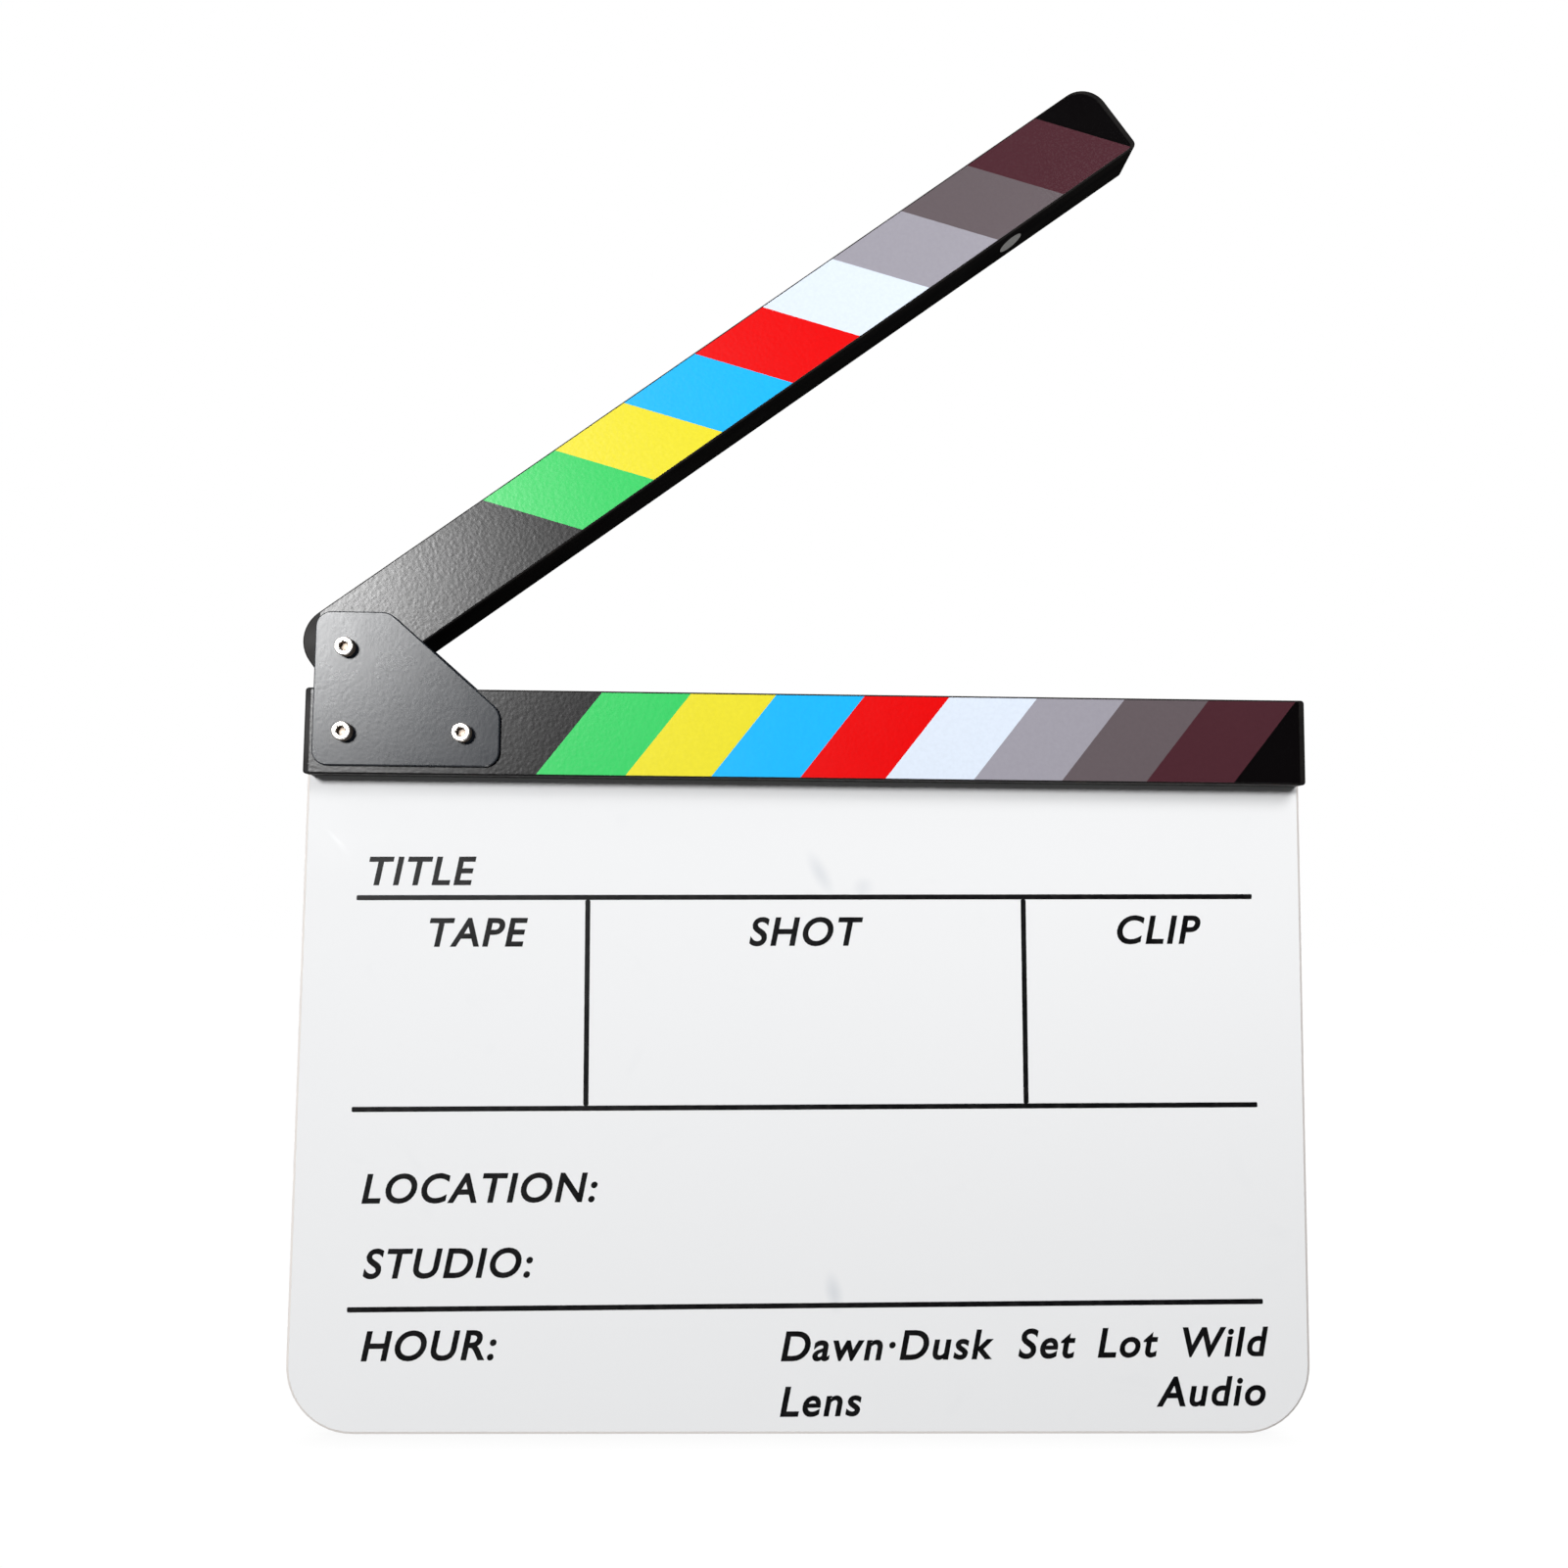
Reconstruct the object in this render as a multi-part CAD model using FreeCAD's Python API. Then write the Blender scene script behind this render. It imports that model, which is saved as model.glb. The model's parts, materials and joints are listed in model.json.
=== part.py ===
import FreeCAD, Part
import math
import os

# A hand-held film slate. A white acrylic sheet is glued into a groove along the underside of a
# black wooden clapstick. A second stick is hinged above it, between two steel plates.
# Millimetres. X runs along the lower stick, Y from the front of the slate to its back, Z up.
# The origin is the middle of the sheet's bottom edge.

V = FreeCAD.Vector

# Wooden clapsticks. The length of the lower one sets the width of the whole slate
STICK_LENGTH = 301.5
STICK_HEIGHT = 25.9
STICK_THICKNESS = 18.0
STICK_EDGE_RADIUS = 0.5
STICK_CORNER = 1.0
UPPER_STICK_TOP_CORNER = 8.5
UPPER_STICK_TIP_CORNER = 2.0
UPPER_STICK_OVERHANG = 1.0
HEEL_RADIUS = 11.6
HEEL_TOP_CORNER = 10.5
GROOVE_DEPTH = 9.5
GROOVE_CLEARANCE = 0.1

# Acrylic writing sheet
SHEET_PAST_STICK = 1.0
SHEET_HEIGHT = 202.6
SHEET_THICKNESS = 3.0
SHEET_BOTTOM_CORNER = 20.0
SHEET_EDGE_BEVEL = 1.0
LARGEST_BEVEL_SHARE = 0.4

# Printed film on the front of each stick
FILM_THICKNESS = 0.2
FILM_MARGIN = 0.05
FILM_FROM_ENDS = 1.8
FILM_UNDER_PLATE = 0.8

# Hinge: where its three screws stand, and how far the plates reach past them
PIVOT_FROM_END = 12.15
BASE_SCREW_ABOVE_GROOVE = 3.0
BASE_SCREW_SPACING = 35.2
PLATE_THICKNESS = 1.2
PLATE_LEFT_OF_PIVOT = 9.4
PLATE_ABOVE_PIVOT = 10.95
PLATE_BELOW_BASE_SCREWS = 10.0
PLATE_RIGHT_OF_SCREW = 10.9
PLATE_TOP_WIDTH = 21.7
PLATE_SIDE_HEIGHT = 16.7
PLATE_CORNER = 4.6
PLATE_SLOPE_CORNER = 6.0
PLATE_EDGE_CHAMFER = 0.35
CLOSED_GAP = 0.3
RAISED_ANGLE = 36.5

# Socket cap screws, washers and nuts, size M3
SCREW_DIAMETER = 3.0
SCREW_HEAD_DIAMETER = 5.68
SCREW_HEAD_HEIGHT = 3.0
SCREW_HEAD_CHAMFER = 0.35
SOCKET_ACROSS_FLATS = 2.5
SOCKET_DEPTH = 1.6
SCREW_TIP_CHAMFER = 0.4
BASE_SCREW_PAST_NUT = 1.5
PIVOT_SCREW_PAST_NUT = 0.3
SCREW_HOLE_CLEARANCE = 0.1
PIVOT_CLEARANCE = 0.08
THREAD_CLEARANCE = 0.05
WASHER_DIAMETER = 7.0
WASHER_THICKNESS = 0.5
NUT_ACROSS_FLATS = 5.5
NUT_HEIGHT = 2.4
NUT_FACE_SHARE = 0.95
LOCK_NUT_HEIGHT = 3.8
LOCK_NUT_HEX_HEIGHT = 2.6
LOCK_NUT_COLLAR_WALL = 0.45
LOCK_NUT_LIP = 0.25
INSERT_LENGTH = 0.9

# Nylon washers that the upper stick turns on
FRICTION_WASHER_DIAMETER = 14.0
FRICTION_WASHER_THICKNESS = 0.5

# Disc magnets let into the striking faces
MAGNET_DIAMETER = 8.0
MAGNET_THICKNESS = 3.0
MAGNET_FROM_END = 47.0
MAGNET_CLEARANCE = 0.05

# Smallest length that counts as a gap
TOUCH = 0.001

stick_bottom = SHEET_HEIGHT - GROOVE_DEPTH
stick_top = stick_bottom + STICK_HEIGHT
stick_left = -STICK_LENGTH / 2
stick_right = STICK_LENGTH / 2
stick_front = -STICK_THICKNESS / 2
stick_back = STICK_THICKNESS / 2
lower_edges = (stick_left, stick_right, stick_bottom, stick_top)
lower_radii = (STICK_CORNER,) * 4
plate_seat = stick_front - FILM_THICKNESS

pivot_x = stick_left + PIVOT_FROM_END
pivot_z = stick_top + CLOSED_GAP + HEEL_RADIUS
base_screw_z = stick_bottom + GROOVE_DEPTH + BASE_SCREW_ABOVE_GROOVE
base_screw_x = (pivot_x, pivot_x + BASE_SCREW_SPACING)
plate_left = pivot_x - PLATE_LEFT_OF_PIVOT

upper_front = plate_seat + FRICTION_WASHER_THICKNESS + FILM_THICKNESS
upper_back = stick_back - FRICTION_WASHER_THICKNESS
upper_bottom = stick_top + CLOSED_GAP
upper_top = upper_bottom + STICK_HEIGHT
upper_left = pivot_x - HEEL_RADIUS
upper_right = stick_right + UPPER_STICK_OVERHANG
upper_edges = (upper_left, upper_right, upper_bottom, upper_top)
heel_top_round = min(HEEL_TOP_CORNER, STICK_HEIGHT - HEEL_RADIUS - STICK_CORNER)
upper_radii = (HEEL_RADIUS, UPPER_STICK_TIP_CORNER, UPPER_STICK_TOP_CORNER, heel_top_round)

hole_radius = SCREW_DIAMETER / 2 + SCREW_HOLE_CLEARANCE
nut_bore_radius = SCREW_DIAMETER / 2 + THREAD_CLEARANCE
washer_seat = stick_back + PLATE_THICKNESS
nut_seat = washer_seat + WASHER_THICKNESS


def rounded_face(corners):
    """A flat face in the XZ plane. Each corner is (x, z, radius), and is sharp where its radius is 0."""
    turns = []
    for index, (x, z, radius) in enumerate(corners):
        corner = V(x, 0, z)
        if radius == 0:
            turns.append((corner, None, corner))
            continue
        x_before, z_before, _ = corners[index - 1]
        x_after, z_after, _ = corners[(index + 1) % len(corners)]
        backward = (V(x_before, 0, z_before) - corner).normalize()
        forward = (V(x_after, 0, z_after) - corner).normalize()
        half_angle = backward.getAngle(forward) / 2
        reach = radius / math.tan(half_angle)
        inward = (backward + forward).normalize()
        middle = corner + inward * (radius / math.sin(half_angle) - radius)
        turns.append((corner + backward * reach, middle, corner + forward * reach))
    edges = []
    for index, (start, middle, end) in enumerate(turns):
        if middle:
            edges.append(Part.Arc(start, middle, end).toShape())
        next_start = turns[(index + 1) % len(turns)][0]
        if end.distanceToPoint(next_start) > TOUCH:
            edges.append(Part.LineSegment(end, next_start).toShape())
    return Part.Face(Part.Wire(edges))


def slab(corners, front, back):
    """A plate of that outline from y = front to y = back."""
    face = rounded_face(corners)
    face.translate(V(0, front, 0))
    return face.extrude(V(0, back - front, 0))


def box_corners(left, right, bottom, top, radii):
    """The corners of a rectangle: bottom left, bottom right, top right, top left, as are their radii."""
    places = ((left, bottom), (right, bottom), (right, top), (left, top))
    return [(x, z, radius) for (x, z), radius in zip(places, radii)]


def edges_in(shape, *planes):
    """The edges of the shape that lie in the planes y = planes."""
    edges = []
    for edge in shape.Edges:
        ends = (edge.BoundBox.YMin, edge.BoundBox.YMax)
        for y in planes:
            if max(abs(end - y) for end in ends) < TOUCH:
                edges.append(edge)
    return edges


def bar(radius, x, z, front, back):
    """A round bar along Y."""
    return Part.makeCylinder(radius, back - front, V(x, front, z), V(0, 1, 0))


def ring(outer, inner, x, z, front, back):
    """A flat ring whose axis is along Y."""
    return bar(outer, x, z, front, back).cut(bar(inner, x, z, front, back))


def turned(profile, x, z):
    """A solid turned about the Y axis through (x, z). The profile is a list of (radius, y)."""
    points = [V(x + radius, y, z) for radius, y in profile]
    face = Part.Face(Part.makePolygon(points + points[:1]))
    return face.revolve(V(x, 0, z), V(0, 1, 0), 360)


def hexagon(across_flats, x, z, front, back):
    """A hexagonal bar along Y."""
    corner_radius = across_flats / math.sqrt(3)
    angles = [math.radians(60 * step) for step in range(6)]
    points = [V(x + corner_radius * math.cos(a), front, z + corner_radius * math.sin(a)) for a in angles]
    face = Part.Face(Part.makePolygon(points + points[:1]))
    return face.extrude(V(0, back - front, 0))


def raised(shape):
    """The shape turned about the pivot, from the closed slate to the open one."""
    opened = shape.copy()
    opened.rotate(V(pivot_x, 0, pivot_z), V(0, -1, 0), RAISED_ANGLE)
    return opened


def make_sheet():
    """White acrylic with round bottom corners and bevelled edges. Its top is square, for the groove."""
    half = SHEET_THICKNESS / 2
    left, right = stick_left - SHEET_PAST_STICK, stick_right + SHEET_PAST_STICK
    radii = (SHEET_BOTTOM_CORNER, SHEET_BOTTOM_CORNER, 0, 0)
    sheet = slab(box_corners(left, right, 0, SHEET_HEIGHT, radii), -half, half)
    below_top = SHEET_HEIGHT - TOUCH
    bevelled = [edge for edge in edges_in(sheet, -half, half) if edge.BoundBox.ZMin < below_top]
    return sheet.makeChamfer(min(SHEET_EDGE_BEVEL, LARGEST_BEVEL_SHARE * SHEET_THICKNESS), bevelled)


def magnet(radius, bottom, height):
    """A disc about the upright axis on which the two magnets meet when the slate is closed."""
    return Part.makeCylinder(radius, height, V(stick_right - MAGNET_FROM_END, 0, bottom), V(0, 0, 1))


def make_lower_stick():
    """Black wooden bar, grooved along its underside for the sheet and drilled for the two base screws."""
    stick = slab(box_corners(*lower_edges, lower_radii), stick_front, stick_back)
    stick = stick.makeFillet(STICK_EDGE_RADIUS, edges_in(stick, stick_front, stick_back))
    groove_width = SHEET_THICKNESS + 2 * GROOVE_CLEARANCE
    groove_corner = V(stick_left, -groove_width / 2, stick_bottom)
    groove = Part.makeBox(STICK_LENGTH, groove_width, GROOVE_DEPTH, groove_corner)
    pocket_bottom = stick_top - MAGNET_THICKNESS
    pocket = magnet(MAGNET_DIAMETER / 2 + MAGNET_CLEARANCE, pocket_bottom, MAGNET_THICKNESS)
    holes = [bar(hole_radius, x, base_screw_z, stick_front, stick_back) for x in base_screw_x]
    return stick.cut([groove, pocket] + holes)


def make_upper_stick():
    """The stick that claps. Its heel is round about the pivot, to swing clear of the lower stick."""
    stick = slab(box_corners(*upper_edges, upper_radii), upper_front, upper_back)
    stick = stick.makeFillet(STICK_EDGE_RADIUS, edges_in(stick, upper_front, upper_back))
    pocket = magnet(MAGNET_DIAMETER / 2 + MAGNET_CLEARANCE, upper_bottom, MAGNET_THICKNESS)
    pivot_hole = bar(SCREW_DIAMETER / 2 + PIVOT_CLEARANCE, pivot_x, pivot_z, upper_front, upper_back)
    return stick.cut([pocket, pivot_hole])


def make_film(left, right, bottom, top, radii, back, holes):
    """Printed film that covers the flat front of a stick, inside its eased edges."""
    margin = STICK_EDGE_RADIUS + FILM_MARGIN
    inner_radii = [radius - margin for radius in radii]
    ends = (left + FILM_FROM_ENDS, right - FILM_FROM_ENDS)
    corners = box_corners(*ends, bottom + margin, top - margin, inner_radii)
    film = slab(corners, back - FILM_THICKNESS, back)
    cuts = [bar(hole_radius, x, z, back - FILM_THICKNESS, back) for x, z in holes]
    return film.cut(cuts)


def make_upper_film():
    """The upper stick's film. On the open slate it ends just under the hinge plate, and the heel is bare."""
    film = raised(make_film(*upper_edges, upper_radii, upper_front, [(pivot_x, pivot_z)]))
    corner = V(upper_left - STICK_HEIGHT, upper_front - FILM_THICKNESS, pivot_z - STICK_HEIGHT)
    width = plate_left + FILM_UNDER_PLATE - corner.x
    return film.cut(Part.makeBox(width, FILM_THICKNESS, 2 * STICK_HEIGHT, corner))


def make_plate(front):
    """Five-sided steel hinge plate, cut on the slope from the pivot down to the right-hand screw."""
    right = base_screw_x[1] + PLATE_RIGHT_OF_SCREW
    bottom = base_screw_z - PLATE_BELOW_BASE_SCREWS
    top = pivot_z + PLATE_ABOVE_PIVOT
    corners = [
        (plate_left, bottom, PLATE_CORNER),
        (right, bottom, PLATE_CORNER),
        (right, bottom + PLATE_SIDE_HEIGHT, PLATE_SLOPE_CORNER),
        (plate_left + PLATE_TOP_WIDTH, top, PLATE_SLOPE_CORNER),
        (plate_left, top, PLATE_CORNER),
    ]
    back = front + PLATE_THICKNESS
    outer = front if front < 0 else back
    plate = slab(corners, front, back)
    plate = plate.makeChamfer(PLATE_EDGE_CHAMFER, edges_in(plate, outer))
    places = [(pivot_x, pivot_z)] + [(x, base_screw_z) for x in base_screw_x]
    return plate.cut([bar(hole_radius, x, z, front, back) for x, z in places])


def make_screw(x, z, tip):
    """Socket cap screw, its head on the front plate and its tip at y = tip behind the nut."""
    seat = plate_seat - PLATE_THICKNESS
    front = seat - SCREW_HEAD_HEIGHT
    head = SCREW_HEAD_DIAMETER / 2
    shank = SCREW_DIAMETER / 2
    profile = [
        (0, front),
        (head - SCREW_HEAD_CHAMFER, front),
        (head, front + SCREW_HEAD_CHAMFER),
        (head, seat),
        (shank, seat),
        (shank, tip - SCREW_TIP_CHAMFER),
        (shank - SCREW_TIP_CHAMFER, tip),
        (0, tip),
    ]
    socket = hexagon(SOCKET_ACROSS_FLATS, x, z, front, front + SOCKET_DEPTH)
    return turned(profile, x, z).cut(socket)


def make_nut(x, z, height):
    """Hexagon nut with a flat seat on its washer and the corners of its outer face turned off."""
    corner = NUT_ACROSS_FLATS / math.sqrt(3)
    face = NUT_FACE_SHARE * NUT_ACROSS_FLATS / 2
    slope = (corner - face) * math.tan(math.radians(30))
    back = nut_seat + height
    profile = [
        (nut_bore_radius, nut_seat),
        (corner, nut_seat),
        (corner, back - slope),
        (face, back),
        (nut_bore_radius, back),
    ]
    return hexagon(NUT_ACROSS_FLATS, x, z, nut_seat, back).common(turned(profile, x, z))


def lock_nut_collar():
    """Outer radius of the lock nut's collar, and the radius of the nylon ring inside it."""
    outer = NUT_FACE_SHARE * NUT_ACROSS_FLATS / 2
    return outer, outer - LOCK_NUT_COLLAR_WALL


def make_lock_nut():
    """Lock nut: a hexagon with a thin collar behind it, crimped over the nylon ring."""
    outer, ring_radius = lock_nut_collar()
    hex_back = nut_seat + LOCK_NUT_HEX_HEIGHT
    ring_back = hex_back + INSERT_LENGTH
    back = nut_seat + LOCK_NUT_HEIGHT
    collar = [
        (ring_radius, hex_back),
        (outer, hex_back),
        (outer, ring_back),
        (outer - LOCK_NUT_LIP, back),
        (ring_radius - LOCK_NUT_LIP, back),
        (ring_radius - LOCK_NUT_LIP, ring_back),
        (ring_radius, ring_back),
    ]
    body = make_nut(pivot_x, pivot_z, LOCK_NUT_HEX_HEIGHT)
    return body.fuse(turned(collar, pivot_x, pivot_z)).removeSplitter()


def make_lock_nut_insert():
    """Nylon ring that grips the pivot screw, so that the hinge keeps its tension."""
    front = nut_seat + LOCK_NUT_HEX_HEIGHT
    ring_radius = lock_nut_collar()[1]
    return ring(ring_radius, nut_bore_radius, pivot_x, pivot_z, front, front + INSERT_LENGTH)


def make_washer(x, z):
    """Flat steel washer between the back plate and a nut."""
    return ring(WASHER_DIAMETER / 2, hole_radius, x, z, washer_seat, nut_seat)


def make_friction_washer(front):
    """Nylon washer about the pivot, between a hinge plate and the upper stick."""
    back = front + FRICTION_WASHER_THICKNESS
    return ring(FRICTION_WASHER_DIAMETER / 2, hole_radius, pivot_x, pivot_z, front, back)


lower_film_holes = [(x, base_screw_z) for x in base_screw_x]
base_screw_tip = nut_seat + NUT_HEIGHT + BASE_SCREW_PAST_NUT
pivot_screw_tip = nut_seat + LOCK_NUT_HEIGHT + PIVOT_SCREW_PAST_NUT

pieces = {
    "slate_sheet": make_sheet(),
    "lower_stick": make_lower_stick(),
    "lower_stripe_film": make_film(*lower_edges, lower_radii, stick_front, lower_film_holes),
    "lower_magnet": magnet(MAGNET_DIAMETER / 2, stick_top - MAGNET_THICKNESS, MAGNET_THICKNESS),
    "front_hinge_plate": make_plate(plate_seat - PLATE_THICKNESS),
    "back_hinge_plate": make_plate(stick_back),
    "pivot_screw": make_screw(pivot_x, pivot_z, pivot_screw_tip),
    "pivot_washer": make_washer(pivot_x, pivot_z),
    "pivot_lock_nut": make_lock_nut(),
    "pivot_nut_insert": make_lock_nut_insert(),
    "upper_stick": raised(make_upper_stick()),
    "upper_stripe_film": make_upper_film(),
    "upper_magnet": raised(magnet(MAGNET_DIAMETER / 2, upper_bottom, MAGNET_THICKNESS)),
    "friction_washer_front": raised(make_friction_washer(plate_seat)),
    "friction_washer_back": raised(make_friction_washer(upper_back)),
}
for side, x in zip(("left", "right"), base_screw_x):
    pieces["base_screw_" + side] = make_screw(x, base_screw_z, base_screw_tip)
    pieces["base_washer_" + side] = make_washer(x, base_screw_z)
    pieces["base_nut_" + side] = make_nut(x, base_screw_z, NUT_HEIGHT)

os.makedirs("parts", exist_ok=True)
for name, shape in pieces.items():
    shape.exportStep("parts/" + name + ".step")
    print(name, len(shape.Solids), "solid, valid", shape.isValid(), "volume", round(shape.Volume, 2))
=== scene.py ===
import json
import math

import bmesh
import bpy
from mathutils import Matrix, Vector


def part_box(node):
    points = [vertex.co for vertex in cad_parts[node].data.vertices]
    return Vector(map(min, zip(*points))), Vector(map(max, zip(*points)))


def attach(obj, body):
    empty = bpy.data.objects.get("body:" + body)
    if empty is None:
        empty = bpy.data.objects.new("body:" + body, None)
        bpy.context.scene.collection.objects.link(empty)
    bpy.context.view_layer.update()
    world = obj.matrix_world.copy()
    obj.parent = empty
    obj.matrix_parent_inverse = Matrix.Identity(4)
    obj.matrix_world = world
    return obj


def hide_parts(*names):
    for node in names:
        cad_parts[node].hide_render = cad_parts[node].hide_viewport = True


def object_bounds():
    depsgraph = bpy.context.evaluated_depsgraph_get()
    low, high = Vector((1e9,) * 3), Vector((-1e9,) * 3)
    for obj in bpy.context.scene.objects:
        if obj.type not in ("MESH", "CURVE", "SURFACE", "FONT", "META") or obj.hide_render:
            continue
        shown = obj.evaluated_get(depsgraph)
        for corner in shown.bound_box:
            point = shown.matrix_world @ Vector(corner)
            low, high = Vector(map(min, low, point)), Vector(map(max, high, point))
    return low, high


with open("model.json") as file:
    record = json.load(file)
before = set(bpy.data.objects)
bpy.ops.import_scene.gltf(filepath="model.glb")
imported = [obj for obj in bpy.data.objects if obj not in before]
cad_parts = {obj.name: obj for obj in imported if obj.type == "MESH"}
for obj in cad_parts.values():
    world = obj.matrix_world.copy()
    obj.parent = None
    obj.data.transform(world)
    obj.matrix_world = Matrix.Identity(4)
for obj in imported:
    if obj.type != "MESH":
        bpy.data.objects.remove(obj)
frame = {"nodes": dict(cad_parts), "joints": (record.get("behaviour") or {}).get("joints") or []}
cad_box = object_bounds()


# Writing sheet. White cast acrylic, 3 mm thick, with bevelled and polished edges.
# Its top is glued into the groove of the lower stick, and it carries the printed form.
# Dry-wipe marker has left smears in its gloss and a few grey ghosts of old strokes.
MM = 0.001
SHEET_WHITE = (0.86, 0.866, 0.875, 1)
SHEET_ROUGHNESS = (0.09, 0.16)
SHEET_SCRATCHES_PER_METRE = 160.0
SHEET_SCRATCH_ROUGHNESS = 0.12
SHEET_WAVES_PER_METRE = 14.0
SHEET_WAVE_DEPTH = 0.25 * MM
SHEET_WAVE_STRENGTH = 0.6
SMEARS_PER_METRE = 22.0
SMEAR_STRETCH = (0.6, 1, 1.6)
GHOST_GREY = (0.70, 0.72, 0.75, 1)
GHOSTS_PER_METRE = 34.0
GHOST_PATCHES = (0.66, 0.82)
GHOST_STRENGTH = 0.1
# Each wipe: x and z of its middle, half its width, half its length, its lean in radians, and its strength
WIPES = (
    (4.0, 165.0, 3.4, 9.5, 0.5, 0.7),
    (17.0, 161.0, 4.5, 4.0, 0.4, 0.5),
    (9.0, 41.0, 3.4, 7.5, 0.22, 0.85),
)
WIPE_REACH = 2.0 * MM
# Painted glow: the cut edges are painted lighter and warmer than the face.
CUT_EDGE_PAINTED_GLOW = (0.93, 0.88, 0.845, 1)
CUT_EDGE_FACING = (0.97, 0.75)
HAIRLINE_ANGLES = (0.35, 1.25, 2.3)
HAIRLINE_STRETCH = (0.03, 1, 1)
HAIRLINE_WIDTH = 0.012
HAIRLINE_PATCH_STRETCH = (0.2, 0.2, 0.2)
HAIRLINE_PATCHES = (0.52, 0.66)
NOISE_RANGE = (0.3, 0.7)
sheet_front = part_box("slate_sheet")[0].y


def add_node(tree, kind, inputs=None, **settings):
    """A new shader node. The inputs are values or output sockets, by the input's name or number."""
    made = tree.nodes.new(kind)
    for name, value in settings.items():
        setattr(made, name, value)
    for name, value in (inputs or {}).items():
        if isinstance(value, bpy.types.NodeSocket):
            tree.links.new(value, made.inputs[name])
        else:
            made.inputs[name].default_value = value
    return made


def maths(tree, operation, *values):
    """The result of a sum on sockets and numbers."""
    return add_node(tree, "ShaderNodeMath", dict(enumerate(values)), operation=operation).outputs[0]


def vector_maths(tree, operation, *values):
    """The outputs of a sum on vectors: Vector, and Value where the result is a number."""
    return add_node(tree, "ShaderNodeVectorMath", dict(enumerate(values)), operation=operation).outputs


def stretched(tree, vector, factors):
    """The vector with its three parts multiplied by the factors."""
    return vector_maths(tree, "MULTIPLY", vector, factors)["Vector"]


def rotated(tree, vector, angle, centre=(0, 0, 0)):
    """The vector turned about the line along Y through the centre."""
    inputs = {"Vector": vector, "Center": centre, "Axis": (0, 1, 0), "Angle": angle}
    return add_node(tree, "ShaderNodeVectorRotate", inputs, rotation_type="AXIS_ANGLE").outputs[0]


def split(tree, vector):
    """The X, Y and Z of a vector."""
    return add_node(tree, "ShaderNodeSeparateXYZ", {0: vector}).outputs


def spread(tree, value, low, high, to_low, to_high):
    """A value between low and high, carried over to the range from to_low to to_high and held there."""
    ends = {"Value": value, "From Min": low, "From Max": high, "To Min": to_low, "To Max": to_high}
    return add_node(tree, "ShaderNodeMapRange", ends).outputs[0]


def rise(tree, value, start, full, most=1.0):
    """0 where the value is at its start, up to the most where it is full."""
    return spread(tree, value, start, full, 0.0, most)


def added(tree, value, mask, amount):
    """The value, with as much of the amount added as the mask says."""
    return maths(tree, "ADD", value, maths(tree, "MULTIPLY", mask, amount))


def blended(tree, share, colour, other, blend="MIX"):
    """One colour that gives way to its blend with the other as the share goes from 0 to 1."""
    inputs = {0: share, 6: colour, 7: other}
    return add_node(tree, "ShaderNodeMix", inputs, data_type="RGBA", blend_type=blend).outputs[2]


def noise(tree, vector, scale, detail=3.0, distortion=0.0):
    """Cloudy noise from 0 to 1. The scale is how many clouds lie along a metre."""
    inputs = {"Vector": vector, "Scale": scale, "Detail": detail, "Distortion": distortion}
    return add_node(tree, "ShaderNodeTexNoise", inputs).outputs[0]


def clouded(tree, clouds, low, high):
    """A value that goes from low to high with the noise, over the range that noise mostly keeps to."""
    return spread(tree, clouds, *NOISE_RANGE, low, high)


def cut_mask(tree, normal, start, full):
    """Where a flat piece that faces along Y turns away into its cut edge."""
    facing = maths(tree, "ABSOLUTE", split(tree, normal)["Y"])
    return rise(tree, facing, start, full)


def bump(tree, height, depth, strength=1.0):
    """The normal of a surface with that height, whose full depth is in metres."""
    inputs = {"Height": height, "Distance": depth, "Strength": strength}
    return add_node(tree, "ShaderNodeBump", inputs).outputs[0]


def new_group(name, inputs, outputs):
    """An empty shader node group, with its input and output nodes. Each socket is a name and a kind."""
    group = bpy.data.node_groups.new(name, "ShaderNodeTree")
    for socket, kind in inputs.items():
        group.interface.new_socket(socket, in_out="INPUT", socket_type="NodeSocket" + kind)
    for socket, kind in outputs.items():
        group.interface.new_socket(socket, in_out="OUTPUT", socket_type="NodeSocket" + kind)
    return group, group.nodes.new("NodeGroupInput"), group.nodes.new("NodeGroupOutput")


def placed(tree, group, **inputs):
    """The outputs of a node group in a material, with its inputs set."""
    return add_node(tree, "ShaderNodeGroup", inputs, node_tree=group).outputs


def new_material(name, **values):
    """A material, its node tree, its Principled BSDF with the values set, and its texture coordinates."""
    material = bpy.data.materials.new(name)
    material.use_nodes = True
    tree = material.node_tree
    surface = tree.nodes["Principled BSDF"]
    for socket, value in values.items():
        surface.inputs[socket.replace("_", " ")].default_value = value
    return material, tree, surface, tree.nodes.new("ShaderNodeTexCoord").outputs


def link(tree, surface, **sockets):
    """Links sockets to the inputs of the surface that have those names."""
    for name, socket in sockets.items():
        tree.links.new(socket, surface.inputs[name.replace("_", " ")])


def dress(material, *names):
    """Gives the material to CAD nodes."""
    for name in names:
        slot = frame["nodes"][name].material_slots[0]
        slot.link = "OBJECT"
        slot.material = material


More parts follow.
